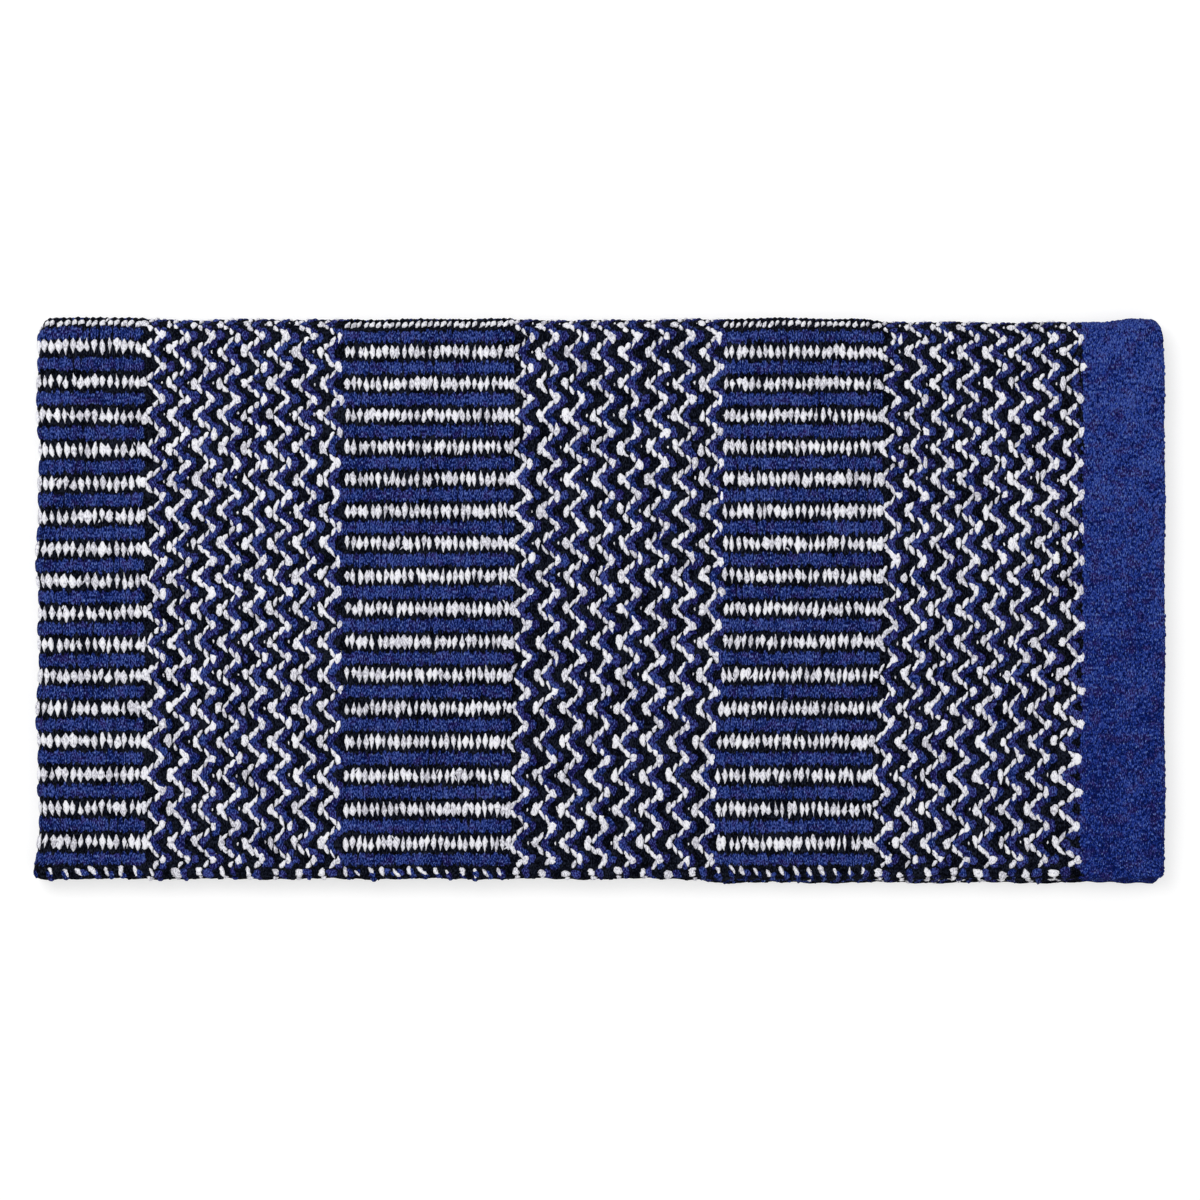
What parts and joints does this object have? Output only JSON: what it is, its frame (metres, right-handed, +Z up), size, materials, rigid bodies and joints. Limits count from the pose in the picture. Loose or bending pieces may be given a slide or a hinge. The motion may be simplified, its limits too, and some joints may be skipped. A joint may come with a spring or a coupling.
{
  "type": "saddle blanket",
  "caption": "Thick double-woven wool saddle blanket, folded in quarters, with zigzag and striped bands and plain borders. It pads a horse's back under a saddle.",
  "frame": {"origin": "middle of the folded blanket's underside, on the surface that it lies on", "axes": "+X along the blanket from the crosswise fold to the bordered end, +Y from the selvages to the spine fold, +Z up"},
  "size_m": [0.8127, 0.4066, 0.0257],
  "materials": {
    "striped_cloth": "matte",
    "zigzag_cloth": "matte",
    "border_cloth": "matte",
    "selvage_cloth": "matte",
    "white_yarn": "matte",
    "blue_yarn": "matte",
    "black_yarn": "matte",
    "border_yarn": "matte"
  },
  "bodies": {
    "lower_half": {"bottom_leaf_centre_stripe": "striped_cloth", "bottom_leaf_inner_zigzag": "zigzag_cloth", "bottom_leaf_inner_stripe": "striped_cloth", "bottom_leaf_middle_zigzag": "zigzag_cloth", "bottom_leaf_outer_stripe": "striped_cloth", "bottom_leaf_outer_zigzag": "zigzag_cloth", "bottom_leaf_end_border": "border_cloth", "bottom_leaf_selvage": "selvage_cloth", "third_leaf_centre_stripe": "striped_cloth", "third_leaf_inner_zigzag": "zigzag_cloth", "third_leaf_inner_stripe": "striped_cloth", "third_leaf_middle_zigzag": "zigzag_cloth", "third_leaf_outer_stripe": "striped_cloth", "third_leaf_outer_zigzag": "zigzag_cloth", "third_leaf_end_border": "border_cloth", "third_leaf_selvage": "selvage_cloth", "lower_cross_fold": "striped_cloth", "cross_fold_corner": "striped_cloth", "inner_spine_fold_centre_stripe": "striped_cloth", "inner_spine_fold_inner_zigzag": "zigzag_cloth", "inner_spine_fold_inner_stripe": "striped_cloth", "inner_spine_fold_middle_zigzag": "zigzag_cloth", "inner_spine_fold_outer_stripe": "striped_cloth", "inner_spine_fold_outer_zigzag": "zigzag_cloth", "inner_spine_fold_end_border": "border_cloth", "outer_spine_fold_centre_stripe": "striped_cloth", "outer_spine_fold_inner_zigzag": "zigzag_cloth", "outer_spine_fold_inner_stripe": "striped_cloth", "outer_spine_fold_middle_zigzag": "zigzag_cloth", "outer_spine_fold_outer_stripe": "striped_cloth", "outer_spine_fold_outer_zigzag": "zigzag_cloth", "outer_spine_fold_end_border": "border_cloth"},
    "upper_half": {"second_leaf_centre_stripe": "striped_cloth", "second_leaf_inner_zigzag": "zigzag_cloth", "second_leaf_inner_stripe": "striped_cloth", "second_leaf_middle_zigzag": "zigzag_cloth", "second_leaf_outer_stripe": "striped_cloth", "second_leaf_outer_zigzag": "zigzag_cloth", "second_leaf_end_border": "border_cloth", "second_leaf_selvage": "selvage_cloth", "top_leaf_centre_stripe": "striped_cloth", "top_leaf_inner_zigzag": "zigzag_cloth", "top_leaf_inner_stripe": "striped_cloth", "top_leaf_middle_zigzag": "zigzag_cloth", "top_leaf_outer_stripe": "striped_cloth", "top_leaf_outer_zigzag": "zigzag_cloth", "top_leaf_end_border": "border_cloth", "top_leaf_selvage": "selvage_cloth", "upper_cross_fold": "striped_cloth"}
  },
  "joints": [
    {"name": "spine_fold", "type": "hinge", "parent": "lower_half", "child": "upper_half", "pos_m": [0, 0.1984, 0.01285], "axis": [-1, 0, 0], "range_deg": [0, 179.8], "deforming": ["cross_fold_corner", "inner_spine_fold_centre_stripe", "inner_spine_fold_inner_zigzag", "inner_spine_fold_inner_stripe", "inner_spine_fold_middle_zigzag", "inner_spine_fold_outer_stripe", "inner_spine_fold_outer_zigzag", "inner_spine_fold_end_border", "outer_spine_fold_centre_stripe", "outer_spine_fold_inner_zigzag", "outer_spine_fold_inner_stripe", "outer_spine_fold_middle_zigzag", "outer_spine_fold_outer_stripe", "outer_spine_fold_outer_zigzag", "outer_spine_fold_end_border"]}
  ]
}
